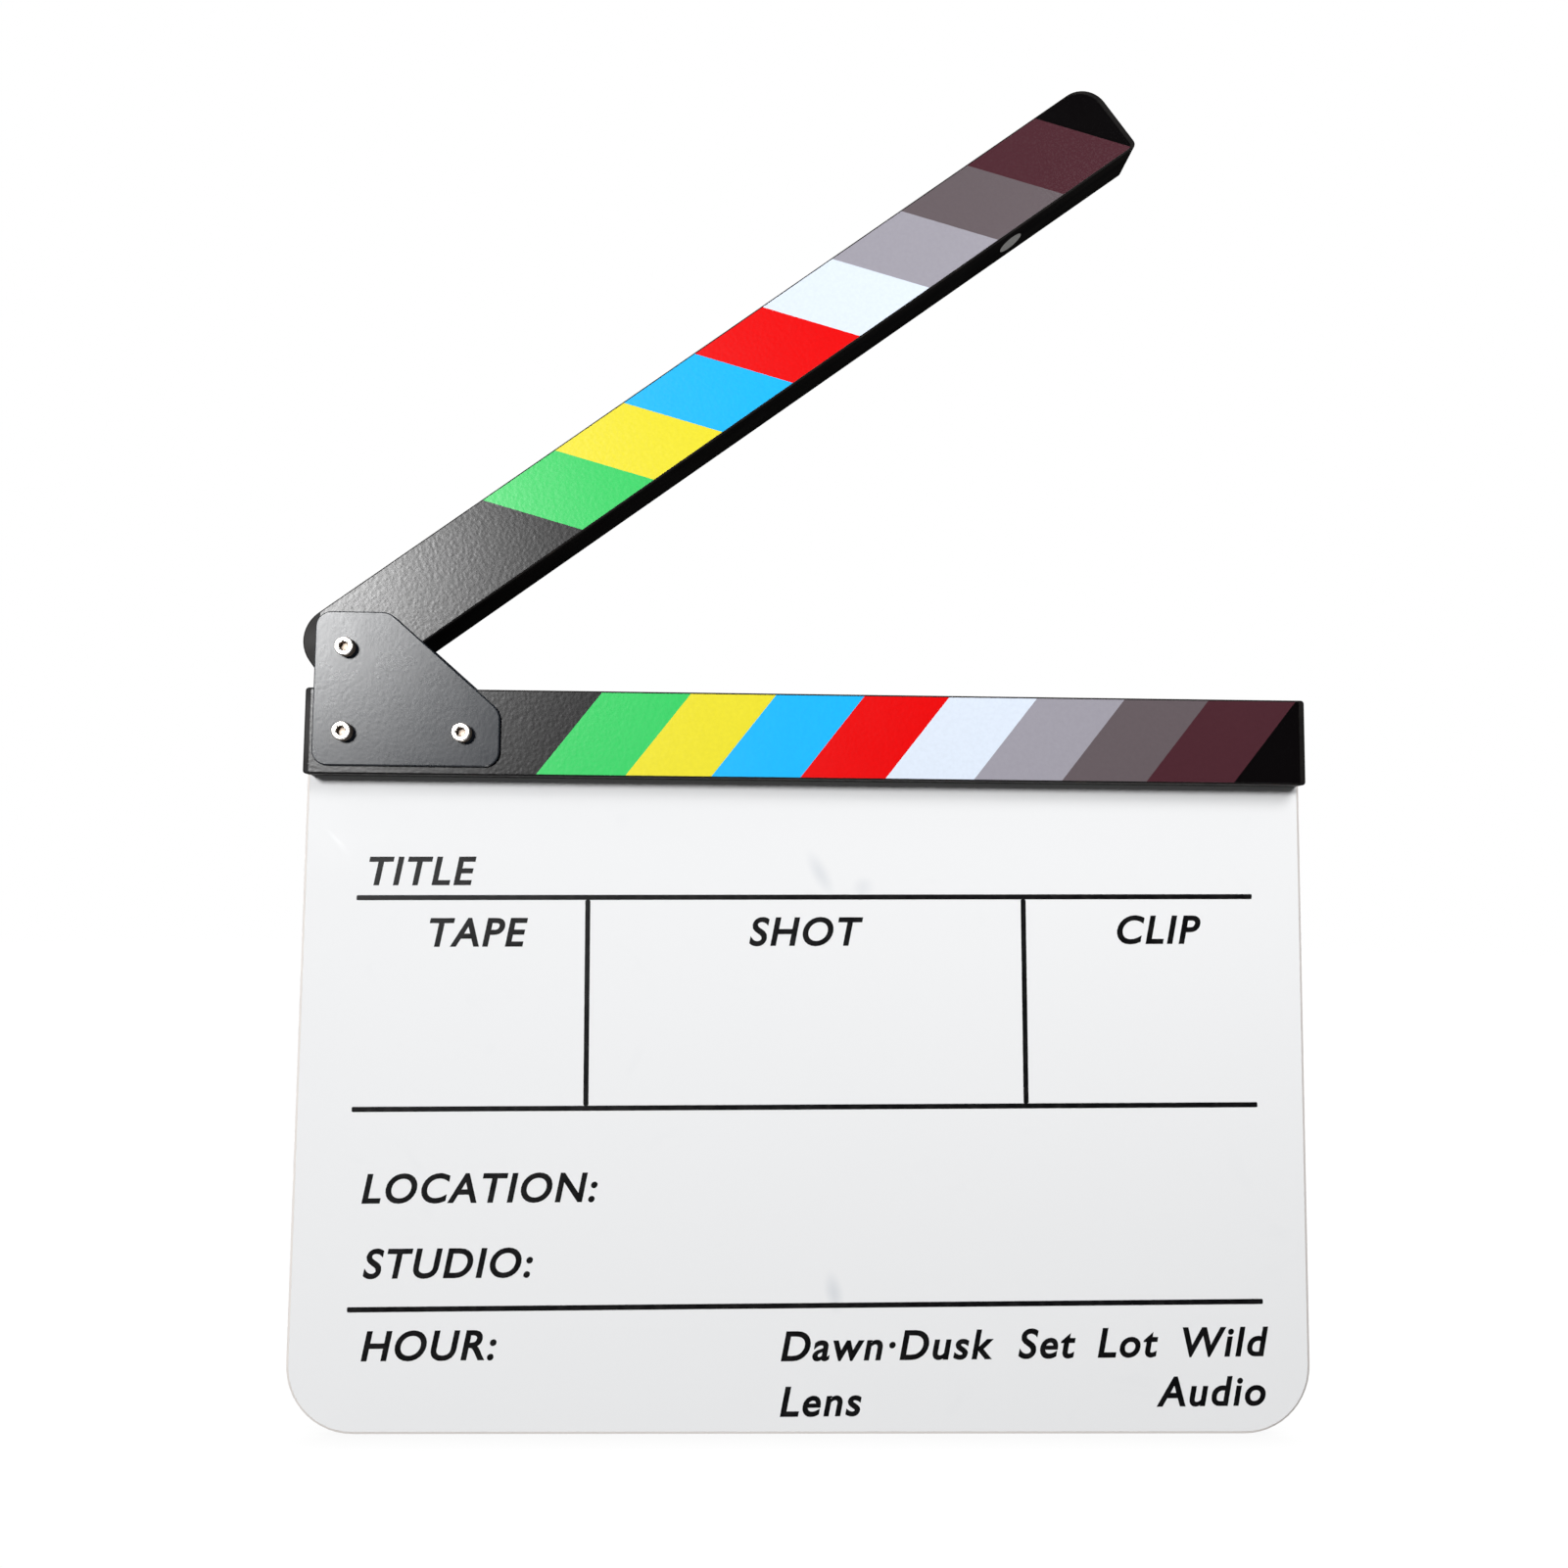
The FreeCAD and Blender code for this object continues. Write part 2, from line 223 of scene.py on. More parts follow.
def make_hairlines():
    """Fine straight scratches at three angles in the XZ plane. Density is how many lie along a metre."""
    sockets = {"Vector": "Vector", "Density": "Float"}
    group, given, result = new_group("hairlines", sockets, {"Mask": "Float"})
    density = given.outputs["Density"]
    total = 0.0
    for angle in HAIRLINE_ANGLES:
        turned = rotated(group, given.outputs["Vector"], angle)
        lines = noise(group, stretched(group, turned, HAIRLINE_STRETCH), density)
        patches = noise(group, stretched(group, turned, HAIRLINE_PATCH_STRETCH), density)
        away = maths(group, "ABSOLUTE", maths(group, "SUBTRACT", lines, 0.5))
        thin = rise(group, away, HAIRLINE_WIDTH, 0.0)
        broken = maths(group, "MULTIPLY", thin, rise(group, patches, *HAIRLINE_PATCHES))
        total = maths(group, "MAXIMUM", total, broken)
    group.links.new(total, result.inputs["Mask"])
    return group


def make_wipe():
    """A soft smudge, full in its middle. Its size is half its width, its depth and half its length."""
    sockets = {"Vector": "Vector", "Middle": "Vector", "Size": "Vector", "Turn": "Float"}
    group, given, result = new_group("wipe", sockets, {"Mask": "Float"})
    middle = given.outputs["Middle"]
    turned = rotated(group, given.outputs["Vector"], given.outputs["Turn"], middle)
    offset = vector_maths(group, "SUBTRACT", turned, middle)["Vector"]
    share = vector_maths(group, "DIVIDE", offset, given.outputs["Size"])["Vector"]
    ends = {"Value": vector_maths(group, "LENGTH", share)["Value"], "From Min": 1.0, "From Max": 0.0}
    mask = add_node(group, "ShaderNodeMapRange", ends, interpolation_type="SMOOTHSTEP").outputs[0]
    group.links.new(mask, result.inputs["Mask"])
    return group


hairlines = make_hairlines()
wipe = make_wipe()


def make_acrylic():
    """Glossy white acrylic, duller where smeared and scratched. Its cut edges get a painted warm glow."""
    material, tree, surface, coordinates = new_material("white_acrylic", IOR=1.49)
    place = coordinates["Object"]
    smears = noise(tree, stretched(tree, place, SMEAR_STRETCH), SMEARS_PER_METRE, detail=4.0, distortion=0.8)
    faint = noise(tree, place, GHOSTS_PER_METRE, detail=2.0, distortion=1.5)
    ghosts = rise(tree, faint, *GHOST_PATCHES, GHOST_STRENGTH)
    for x, z, half_width, half_length, lean, strength in WIPES:
        middle = (x * MM, sheet_front, z * MM)
        size = (half_width * MM, WIPE_REACH, half_length * MM)
        mark = placed(tree, wipe, Vector=place, Middle=middle, Size=size, Turn=lean)["Mask"]
        ghosts = maths(tree, "MAXIMUM", ghosts, maths(tree, "MULTIPLY", mark, strength))
    white = blended(tree, ghosts, SHEET_WHITE, GHOST_GREY)
    cut = cut_mask(tree, coordinates["Normal"], *CUT_EDGE_FACING)
    scratches = placed(tree, hairlines, Vector=place, Density=SHEET_SCRATCHES_PER_METRE)["Mask"]
    gloss = clouded(tree, smears, *SHEET_ROUGHNESS)
    waves = noise(tree, place, SHEET_WAVES_PER_METRE, detail=1.0)
    # The cut edges are painted lighter and warmer than the face, a painted glow of the light the polished
    # edges gather.
    link(tree, surface, Base_Color=blended(tree, cut, white, CUT_EDGE_PAINTED_GLOW))
    link(tree, surface, Roughness=added(tree, gloss, scratches, SHEET_SCRATCH_ROUGHNESS))
    link(tree, surface, Normal=bump(tree, waves, SHEET_WAVE_DEPTH, SHEET_WAVE_STRENGTH))
    return material


dress(make_acrylic(), "slate_sheet")


# Printed form. Black ink screen-printed on the front of the sheet, and turned a little on it.
# Three rules and two dividers make the fields, and short slanted labels name them.
# Each print is a skin of ink that stands a few hundredths of a millimetre proud of the acrylic.
INK_THICKNESS = 0.03 * MM
INK_BLACK = (0.0025, 0.0025, 0.003, 1)
INK_WORN = (0.008, 0.0075, 0.008, 1)
INK_WEAR = (0.45, 0.75)
INK_ROUGHNESS = (0.32, 0.5)
INK_CLOUDS_PER_METRE = 420.0
INK_RELIEF = 0.01 * MM
PRINT_TURN = math.radians(0.61)
RULE_WIDTH = 1.52 * MM
RULE_LEFT = -133.9 * MM
RULE_RIGHT = 138.0 * MM
RULE_HEIGHTS = (157.85 * MM, 95.1 * MM, 37.1 * MM)
DIVIDERS = (-64.55 * MM, 67.65 * MM)
RULE_END_RADIUS = 0.4 * MM
RULE_END_STEPS = 3
LABEL_SIZE = 11.9 * MM
LABEL_SLANT = 0.2
LABEL_WEIGHT = 0.021
LABEL_SPACING = 1.12
LABEL_CURVE_STEPS = 6
# Each label: its words, x and z of its baseline in millimetres, and whether x is its start or its middle
LABELS = {
    "label_title": ("TITLE", -133.4, 160.4, "LEFT"),
    "label_tape": ("TAPE", -100.1, 142.3, "CENTER"),
    "label_shot": ("SHOT", -1.1, 143.4, "CENTER"),
    "label_clip": ("CLIP", 106.4, 144.9, "CENTER"),
    "label_location": ("LOCATION:", -131.7, 66.5, "LEFT"),
    "label_studio": ("STUDIO:", -130.4, 44.8, "LEFT"),
    "label_hour": ("HOUR:", -130.4, 21.2, "LEFT"),
    "label_light": ("Dawn·Dusk", -7.2, 21.3, "LEFT"),
    "label_set": ("Set", 63.6, 22.1, "LEFT"),
    "label_lot": ("Lot", 87.1, 22.4, "LEFT"),
    "label_wild": ("Wild", 112.1, 22.6, "LEFT"),
    "label_lens": ("Lens", -7.3, 5.4, "LEFT"),
    "label_audio": ("Audio", 105.6, 8.3, "LEFT"),
}


def make_ink():
    """Satin black ink, a little thin in places."""
    material, tree, surface, coordinates = new_material("screen_ink", Specular_IOR_Level=0.25)
    cover = noise(tree, coordinates["Object"], INK_CLOUDS_PER_METRE, detail=5.0)
    link(tree, surface, Base_Color=blended(tree, rise(tree, cover, *INK_WEAR), INK_BLACK, INK_WORN))
    link(tree, surface, Roughness=clouded(tree, cover, *INK_ROUGHNESS))
    link(tree, surface, Normal=bump(tree, cover, INK_RELIEF))
    return material


ink = make_ink()


def add_piece(name, mesh, material, body):
    """A piece of the object made of that mesh, which rides on a body and takes its finish from a slot."""
    piece = bpy.data.objects.new(name, mesh)
    bpy.context.collection.objects.link(piece)
    mesh.materials.clear()
    mesh.materials.append(material)
    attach(piece, body)
    return piece


def print_bar(mesh, left, right, bottom, top):
    """A printed bar with slightly round ends, added to the mesh in the XZ plane."""
    outline = []
    corners = ((right, top, 0), (left, top, 1), (left, bottom, 2), (right, bottom, 3))
    for x, z, quarter in corners:
        centre_x = x + math.copysign(RULE_END_RADIUS, (left + right) / 2 - x)
        centre_z = z + math.copysign(RULE_END_RADIUS, (bottom + top) / 2 - z)
        for step in range(RULE_END_STEPS + 1):
            angle = math.radians(90 * quarter + 90 / RULE_END_STEPS * step)
            across, up = RULE_END_RADIUS * math.cos(angle), RULE_END_RADIUS * math.sin(angle)
            outline.append(mesh.verts.new((centre_x + across, sheet_front, centre_z + up)))
    face = mesh.faces.new(outline)
    raised = bmesh.ops.extrude_face_region(mesh, geom=[face])["geom"]
    front = [part for part in raised if isinstance(part, bmesh.types.BMVert)]
    bmesh.ops.translate(mesh, verts=front, vec=(0, -INK_THICKNESS, 0))


def turn_print(mesh, centre):
    """Turns a print in the plane of the sheet, about a point of it."""
    turn = Matrix.Rotation(-PRINT_TURN, 4, "Y")
    mesh.transform(Matrix.Translation(centre) @ turn @ Matrix.Translation(-centre))


def print_rules():
    """The rules across the sheet and the dividers between the upper two, as one print."""
    bars = bmesh.new()
    half = RULE_WIDTH / 2
    for height in RULE_HEIGHTS:
        print_bar(bars, RULE_LEFT, RULE_RIGHT, height - half, height + half)
    for x in DIVIDERS:
        print_bar(bars, x - half, x + half, RULE_HEIGHTS[1] + half, RULE_HEIGHTS[0] - half)
    bmesh.ops.recalc_face_normals(bars, faces=bars.faces)
    mesh = bpy.data.meshes.new("printed_rules")
    bars.to_mesh(mesh)
    bars.free()
    turn_print(mesh, Vector((0, sheet_front, 0)))
    add_piece("printed_rules", mesh, ink, "slate")


def print_label(name, words, x, z, align):
    """A slanted label, whose baseline starts or has its middle at (x, z) in millimetres."""
    text = bpy.data.curves.new(name, "FONT")
    text.body = words
    text.size = LABEL_SIZE
    text.shear = LABEL_SLANT
    text.align_x = align
    text.space_character = LABEL_SPACING
    text.offset = LABEL_WEIGHT * LABEL_SIZE
    text.extrude = INK_THICKNESS / 2
    text.resolution_u = LABEL_CURVE_STEPS
    draft = bpy.data.objects.new(name, text)
    bpy.context.collection.objects.link(draft)
    bpy.context.view_layer.update()
    mesh = bpy.data.meshes.new_from_object(draft.evaluated_get(bpy.context.evaluated_depsgraph_get()))
    bpy.data.objects.remove(draft)
    start = Vector((x * MM, sheet_front - INK_THICKNESS / 2, z * MM))
    mesh.transform(Matrix.Translation(start) @ Matrix.Rotation(math.radians(90), 4, "X"))
    turn_print(mesh, start)
    add_piece(name, mesh, ink, "slate")


print_rules()
for label, (words, x, z, align) in LABELS.items():
    print_label(label, words, x, z, align)


# Lower and upper clapsticks. Straight hardwood bars with eased edges, sprayed with black satin lacquer.
# The lower one is grooved for the sheet, and the upper one turns on the pivot screw.
# The grain shows faintly through the lacquer, which is rubbed thin along the edges.
LACQUER = (0.0060, 0.0056, 0.0058, 1)
LACQUER_THIN = (0.013, 0.0115, 0.0108, 1)
LACQUER_THINNING = (0.35, 0.7)
LACQUER_ROUGHNESS = (0.42, 0.54)
LACQUER_CLOUDS_PER_METRE = 90.0
GRAIN_STRETCH = (0.04, 1, 1)
PORES_PER_METRE = 1500.0
RINGS_PER_METRE = 160.0
RING_SHARE = 0.6
GRAIN_RELIEF = 0.02 * MM
GRAIN_STRENGTH = 0.7
RUBBED_WOOD = (0.075, 0.052, 0.038, 1)
RUBBED_STRENGTH = 0.55
RUBBED_ROUGHNESS = 0.2
RUBBED_FACING = (0.93, 0.74)
RUBBED_SPOTS_PER_METRE = 190.0
RUBBED_PATCHES = (0.57, 0.72)
hinge = frame["joints"][0]
pivot = Vector(hinge["pos_m"])
raised_angle = math.radians(-hinge["range_deg"][0])


def make_grain():
    """Long pores of a straight-grained hardwood that runs along X."""
    outputs = {"Height": "Float", "Tone": "Float"}
    group, given, result = new_group("wood_grain", {"Vector": "Vector"}, outputs)
    long_way = stretched(group, given.outputs["Vector"], GRAIN_STRETCH)
    pores = noise(group, long_way, PORES_PER_METRE, detail=4.0, distortion=0.3)
    rings = noise(group, long_way, RINGS_PER_METRE, detail=2.0, distortion=0.6)
    group.links.new(added(group, pores, rings, RING_SHARE), result.inputs["Height"])
    group.links.new(rings, result.inputs["Tone"])
    return group


def make_rubbed():
    """Where a bar with square sides is rubbed: its eased edges, in broken patches."""
    sockets = {"Vector": "Vector", "Normal": "Vector"}
    group, given, result = new_group("rubbed_edges", sockets, {"Mask": "Float"})
    sides = [maths(group, "ABSOLUTE", part) for part in split(group, given.outputs["Normal"])]
    square = maths(group, "MAXIMUM", maths(group, "MAXIMUM", sides[0], sides[1]), sides[2])
    spots = noise(group, given.outputs["Vector"], RUBBED_SPOTS_PER_METRE, detail=5.0)
    edge = rise(group, square, *RUBBED_FACING)
    patches = rise(group, spots, *RUBBED_PATCHES)
    group.links.new(maths(group, "MULTIPLY", edge, patches), result.inputs["Mask"])
    return group


wood_grain = make_grain()
rubbed_edges = make_rubbed()


def make_lacquer(name, turn):
    """Lacquered wood. The turn lays a raised stick down as on the closed slate, with its grain along X."""
    material, tree, surface, coordinates = new_material(name, IOR=1.5, Specular_IOR_Level=0.16)
    place = rotated(tree, coordinates["Object"], turn, pivot)
    normal = rotated(tree, coordinates["Normal"], turn)
    grain = placed(tree, wood_grain, Vector=place)
    rubbed = placed(tree, rubbed_edges, Vector=place, Normal=normal)["Mask"]
    thinning = rise(tree, grain["Tone"], *LACQUER_THINNING)
    black = blended(tree, thinning, LACQUER, LACQUER_THIN)
    bare = maths(tree, "MULTIPLY", rubbed, RUBBED_STRENGTH)
    clouds = noise(tree, place, LACQUER_CLOUDS_PER_METRE, detail=4.0)
    satin = clouded(tree, clouds, *LACQUER_ROUGHNESS)
    link(tree, surface, Base_Color=blended(tree, bare, black, RUBBED_WOOD))
    link(tree, surface, Roughness=added(tree, satin, rubbed, RUBBED_ROUGHNESS))
    link(tree, surface, Normal=bump(tree, grain["Height"], GRAIN_RELIEF, GRAIN_STRENGTH))
    return material


dress(make_lacquer("lower_lacquer", 0.0), "lower_stick")
dress(make_lacquer("upper_lacquer", raised_angle), "upper_stick")


# Magnets. Nickel-plated discs pressed into the striking faces of the two sticks, flush with the wood.
# They hold the slate shut, and the knocks have scuffed their plating.
NICKEL = (0.70, 0.695, 0.675, 1)
NICKEL_SCUFFED = (0.54, 0.53, 0.51, 1)
NICKEL_WEAR = (0.5, 0.75)
NICKEL_WEAR_STRENGTH = 0.7
NICKEL_ROUGHNESS = (0.56, 0.72)
NICKEL_SCUFFS_PER_METRE = 2600.0
NICKEL_CLOUDS_PER_METRE = 900.0
NICKEL_RELIEF = 0.01 * MM


def make_nickel():
    """Nickel plating, dulled by handling and knocks."""
    material, tree, surface, coordinates = new_material("nickel_plate", Metallic=0.35)
    place = coordinates["Object"]
    scuffs = placed(tree, hairlines, Vector=place, Density=NICKEL_SCUFFS_PER_METRE)["Mask"]
    clouds = noise(tree, place, NICKEL_CLOUDS_PER_METRE, detail=4.0)
    worn = maths(tree, "MAXIMUM", rise(tree, clouds, *NICKEL_WEAR, NICKEL_WEAR_STRENGTH), scuffs)
    link(tree, surface, Base_Color=blended(tree, worn, NICKEL, NICKEL_SCUFFED))
    link(tree, surface, Roughness=spread(tree, worn, 0.0, 1.0, *NICKEL_ROUGHNESS))
    link(tree, surface, Normal=bump(tree, clouds, NICKEL_RELIEF))
    return material


dress(make_nickel(), "lower_magnet", "upper_magnet")


# Stripe films. Printed vinyl stuck on the front of each stick, inside its eased edges.
# Eight slanted colour stripes, the same on both sticks but slanted the other way, meet at the clap.
# A fine pebbled laminate over the print gives the film its satin sheen.
STRIPE_PITCH = 26.26 * MM
STRIPE_SLANT = 0.772
LOWER_FIRST_STRIPE = (-72.4 * MM, 206.06 * MM)
UPPER_FIRST_STRIPE = (67.2 * MM, 2.25 * MM)
PEBBLES_PER_METRE = 900.0
FILM_RELIEF = 0.021 * MM
FILM_ROUGHNESS = (0.284, 0.304)
FILM_CLOUDS_PER_METRE = 60.0
FADE_GREY = (0.5, 0.5, 0.5, 1)
FADE_RANGE = (0.0, 0.1)
CUT_VINYL = (0.30, 0.31, 0.33, 1)
CUT_VINYL_FACING = (0.7, 0.3)


def screen_colour(red, green, blue):
    """The shader's linear colour for a colour given in screen levels from 0 to 255."""
    shares = [level / 255 for level in (red, green, blue)]
    return [s / 12.92 if s <= 0.04045 else ((s + 0.055) / 1.055) ** 2.4 for s in shares] + [1]


FILM_BLACK = screen_colour(6, 4, 5)
STRIPES = (
    FILM_BLACK,
    screen_colour(48, 204, 98),
    screen_colour(233, 221, 42),
    screen_colour(24, 182, 248),
    screen_colour(230, 0, 2),
    screen_colour(220, 230, 244),
    screen_colour(157, 154, 164),
    screen_colour(99, 89, 93),
    screen_colour(74, 38, 46),
    FILM_BLACK,
)


def make_stripes():
    """The printed colours, by the number of stripes that a point lies beyond the first boundary."""
    group, given, result = new_group("slanted_stripes", {"Count": "Float"}, {"Color": "Color"})
    share = maths(group, "DIVIDE", maths(group, "ADD", given.outputs["Count"], 1.0), len(STRIPES))
    ramp = add_node(group, "ShaderNodeValToRGB", {"Fac": share})
    ramp.color_ramp.interpolation = "CONSTANT"
    ramp.color_ramp.elements.remove(ramp.color_ramp.elements[1])
    ramp.color_ramp.elements[0].color = STRIPES[0]
    for index, colour in enumerate(STRIPES[1:], 1):
        ramp.color_ramp.elements.new(index / len(STRIPES)).color = colour
    group.links.new(ramp.outputs[0], result.inputs["Color"])
    return group


def make_pebble():
    """Fine embossed grain of laminates and sprayed coats. Density is how many pebbles lie along a metre."""
    outputs = {"Height": "Float", "Tone": "Float"}
    group, given, result = new_group("pebble", {"Vector": "Vector", "Density": "Float"}, outputs)
    cells = {"Vector": given.outputs["Vector"], "Scale": given.outputs["Density"]}
    round_cells = add_node(group, "ShaderNodeTexVoronoi", cells, feature="SMOOTH_F1").outputs["Distance"]
    rough = noise(group, given.outputs["Vector"], given.outputs["Density"])
    group.links.new(maths(group, "SUBTRACT", rough, round_cells), result.inputs["Height"])
    group.links.new(rough, result.inputs["Tone"])
    return group


slanted_stripes = make_stripes()
pebble = make_pebble()


def make_film(name, turn, first, origin, slant):
    """Striped film. The turn lays it down as on the closed slate, and first is its first boundary."""
    material, tree, surface, coordinates = new_material(name, IOR=1.5, Specular_IOR_Level=0.47)
    place = rotated(tree, coordinates["Object"], turn, pivot)
    parts = split(tree, place)
    up = maths(tree, "SUBTRACT", parts["Z"], origin.z + first[1])
    along = maths(tree, "SUBTRACT", parts["X"], origin.x + first[0])
    straight = maths(tree, "SUBTRACT", along, maths(tree, "MULTIPLY", up, slant))
    stripes = placed(tree, slanted_stripes, Count=maths(tree, "DIVIDE", straight, STRIPE_PITCH))["Color"]
    grain = placed(tree, pebble, Vector=place, Density=PEBBLES_PER_METRE)
    fade = clouded(tree, grain["Tone"], *FADE_RANGE)
    print_colour = blended(tree, fade, stripes, FADE_GREY, "MULTIPLY")
    cut = cut_mask(tree, coordinates["Normal"], *CUT_VINYL_FACING)
    clouds = noise(tree, place, FILM_CLOUDS_PER_METRE, detail=4.0)
    link(tree, surface, Base_Color=blended(tree, cut, print_colour, CUT_VINYL))
    link(tree, surface, Roughness=clouded(tree, clouds, *FILM_ROUGHNESS))
    link(tree, surface, Normal=bump(tree, grain["Height"], FILM_RELIEF))
    return material


lower_film = make_film("lower_film", 0.0, LOWER_FIRST_STRIPE, Vector((0, 0, 0)), STRIPE_SLANT)
upper_film = make_film("upper_film", raised_angle, UPPER_FIRST_STRIPE, pivot, -STRIPE_SLANT)
dress(lower_film, "lower_stripe_film")
dress(upper_film, "upper_stripe_film")


# Hinge plates. Five-sided steel plates, 1.2 mm thick, with chamfered outer edges.
# They are coated satin black, and the two base screws clamp them to the lower stick.
# Both coat colours are black with a faint blue cast, a painted reflection of a bluish room.
BLACK_COAT_AND_BLUE_REFLECTION = (0.006, 0.0095, 0.016, 1)
DUSTY_COAT_AND_BLUE_REFLECTION = (0.011, 0.0145, 0.021, 1)
COAT_DUST = (0.4, 0.7)
COAT_ROUGHNESS = (0.268, 0.293)
COAT_CLOUDS_PER_METRE = 130.0
COAT_SCRATCHES_PER_METRE = 420.0
COAT_SCRATCH_ROUGHNESS = 0.05
COAT_RELIEF = 0.0085 * MM


def make_coat():
    """Sprayed black coat with a fine grain, a little dusty and scratched, with a painted blue reflection."""
    material, tree, surface, coordinates = new_material("black_coat", IOR=1.5, Specular_IOR_Level=0.49)
    place = coordinates["Object"]
    grain = placed(tree, pebble, Vector=place, Density=PEBBLES_PER_METRE)
    scratches = placed(tree, hairlines, Vector=place, Density=COAT_SCRATCHES_PER_METRE)["Mask"]
    clouds = noise(tree, place, COAT_CLOUDS_PER_METRE, detail=4.0)
    satin = clouded(tree, clouds, *COAT_ROUGHNESS)
    link(tree, surface, Base_Color=blended(tree, rise(tree, clouds, *COAT_DUST), BLACK_COAT_AND_BLUE_REFLECTION, DUSTY_COAT_AND_BLUE_REFLECTION))
    link(tree, surface, Roughness=added(tree, satin, scratches, COAT_SCRATCH_ROUGHNESS))
    link(tree, surface, Normal=bump(tree, grain["Height"], COAT_RELIEF))
    return material


dress(make_coat(), "front_hinge_plate", "back_hinge_plate")


# Friction washers and the lock nut's ring. Stamped from natural nylon, a milky off-white.
# The washers keep the upper stick off the steel plates, and the ring grips the pivot screw.
NYLON = (0.76, 0.745, 0.70, 1)
NYLON_SOILED = (0.60, 0.575, 0.52, 1)
NYLON_SOIL = (0.45, 0.75)
NYLON_ROUGHNESS = (0.38, 0.52)
NYLON_CLOUDS_PER_METRE = 700.0
NYLON_DEPTH = 0.5 * MM


def make_nylon():
    """Milky nylon that lets a little light in, soiled in places."""
    light = {"Subsurface_Weight": 0.15, "Subsurface_Scale": NYLON_DEPTH}
    material, tree, surface, coordinates = new_material("natural_nylon", IOR=1.53, **light)
    clouds = noise(tree, coordinates["Object"], NYLON_CLOUDS_PER_METRE, detail=4.0)
    link(tree, surface, Base_Color=blended(tree, rise(tree, clouds, *NYLON_SOIL), NYLON, NYLON_SOILED))
    link(tree, surface, Roughness=clouded(tree, clouds, *NYLON_ROUGHNESS))
    return material


dress(make_nylon(), "friction_washer_front", "friction_washer_back", "pivot_nut_insert")


# Socket cap screws, size M3, in bright plated steel: the pivot and the two that clamp the plates.
# Each head is knurled round its side and has a hexagon socket, and the thread shows behind the nut.
# The faces are rubbed bright, and the sockets and sides are soiled and painted darker, as painted shade.
KNURL_TEETH = 36
STEPS_PER_TOOTH = 4
TURN_STEPS = KNURL_TEETH * STEPS_PER_TOOTH
KNURL_DEPTH = 0.13 * MM
SOCKET_HALF_WIDTH = 1.25 * MM
SOCKET_DEPTH = 1.2 * MM
SOCKET_CONE = 0.35 * MM
SOCKET_MOUTH = 1.52 * MM
SOCKET_LEAD = 0.15 * MM
HEAD_ROUND = 0.32 * MM
HEAD_ROUND_STEPS = 4
HEAD_FOOT = 0.3 * MM
HEAD_FOOT_STEP = 0.04 * MM
KNURL_START = 1.3 * HEAD_ROUND
KNURL_END = 1.3 * HEAD_FOOT
RIM_STEP = 0.3 * KNURL_DEPTH
THREAD_PITCH = 0.5 * MM
THREAD_STEPS = 8
THREAD_DEPTH = 0.28 * MM
SHANK_RADIUS = 1.5 * MM
TIP_CHAMFER = 0.4 * MM
SHARP_ANGLE = math.radians(32)
BRIGHT_STEEL = (0.90, 0.85, 0.80, 1)
BRIGHT_STEEL_DULL = (0.74, 0.69, 0.64, 1)
STEEL_WEAR = (0.5, 0.8)
STEEL_WEAR_STRENGTH = 0.8
STEEL_ROUGHNESS = (0.34, 0.48)
STEEL_SCRATCHES_PER_METRE = 3400.0
STEEL_CLOUDS_PER_METRE = 1200.0
SOILED_AND_SHADED_STEEL = (0.48, 0.39, 0.32, 1)
SOILED_ROUGHNESS = 0.16
SOIL_AND_SHADE_START = 0.1 * MM
SOIL_AND_SHADE_FULL = 0.5 * MM
# Each screw: its node, its nut, and how far its socket is turned, in radians
SCREWS = (
    ("pivot_screw", "pivot_lock_nut", 0.2),
    ("base_screw_left", "base_nut_left", 0.75),
    ("base_screw_right", "base_nut_right", 0.45),
)
head_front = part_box("pivot_screw")[0].y
plate_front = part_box("front_hinge_plate")[0].y


def make_bright_steel():
    """Plated steel, bright on the faces of the heads, soiled and painted darker behind them as painted
    shade.
    """
    material, tree, surface, coordinates = new_material("bright_plate", Metallic=1.0)
    place = coordinates["Object"]
    scratches = placed(tree, hairlines, Vector=place, Density=STEEL_SCRATCHES_PER_METRE)["Mask"]
    clouds = noise(tree, place, STEEL_CLOUDS_PER_METRE, detail=4.0)
    dull = maths(tree, "MAXIMUM", rise(tree, clouds, *STEEL_WEAR, STEEL_WEAR_STRENGTH), scratches)
    # Deeper than the face, in the sockets and on the knurled sides, the colour turns darker and browner:
    # soil, and painted shade.
    soiled = rise(tree, split(tree, place)["Y"], head_front + SOIL_AND_SHADE_START, head_front + SOIL_AND_SHADE_FULL)
    plated = blended(tree, dull, BRIGHT_STEEL, BRIGHT_STEEL_DULL)
    worn = spread(tree, dull, 0.0, 1.0, *STEEL_ROUGHNESS)
    link(tree, surface, Base_Color=blended(tree, soiled, plated, SOILED_AND_SHADED_STEEL))
    link(tree, surface, Roughness=added(tree, worn, soiled, SOILED_ROUGHNESS))
    return material


bright_steel = make_bright_steel()


def hexagon_radius(angle):
    """Distance from the middle of the socket to its wall at that angle."""
    sector = math.radians(60)
    return SOCKET_HALF_WIDTH / math.cos((angle % sector) - sector / 2)


def knurl_radius(angle, radius):
    """The side of the head, cut into teeth."""
    tooth = angle / (2 * math.pi) * KNURL_TEETH % 1
    return radius - KNURL_DEPTH * abs(2 * tooth - 1)


def thread_radius(angle, y, start):
    """The flank of a single thread that winds backwards along Y, from its start."""
    turn = ((y - start) / THREAD_PITCH - angle / (2 * math.pi)) % 1
    return SHANK_RADIUS - THREAD_DEPTH * abs(2 * turn - 1)


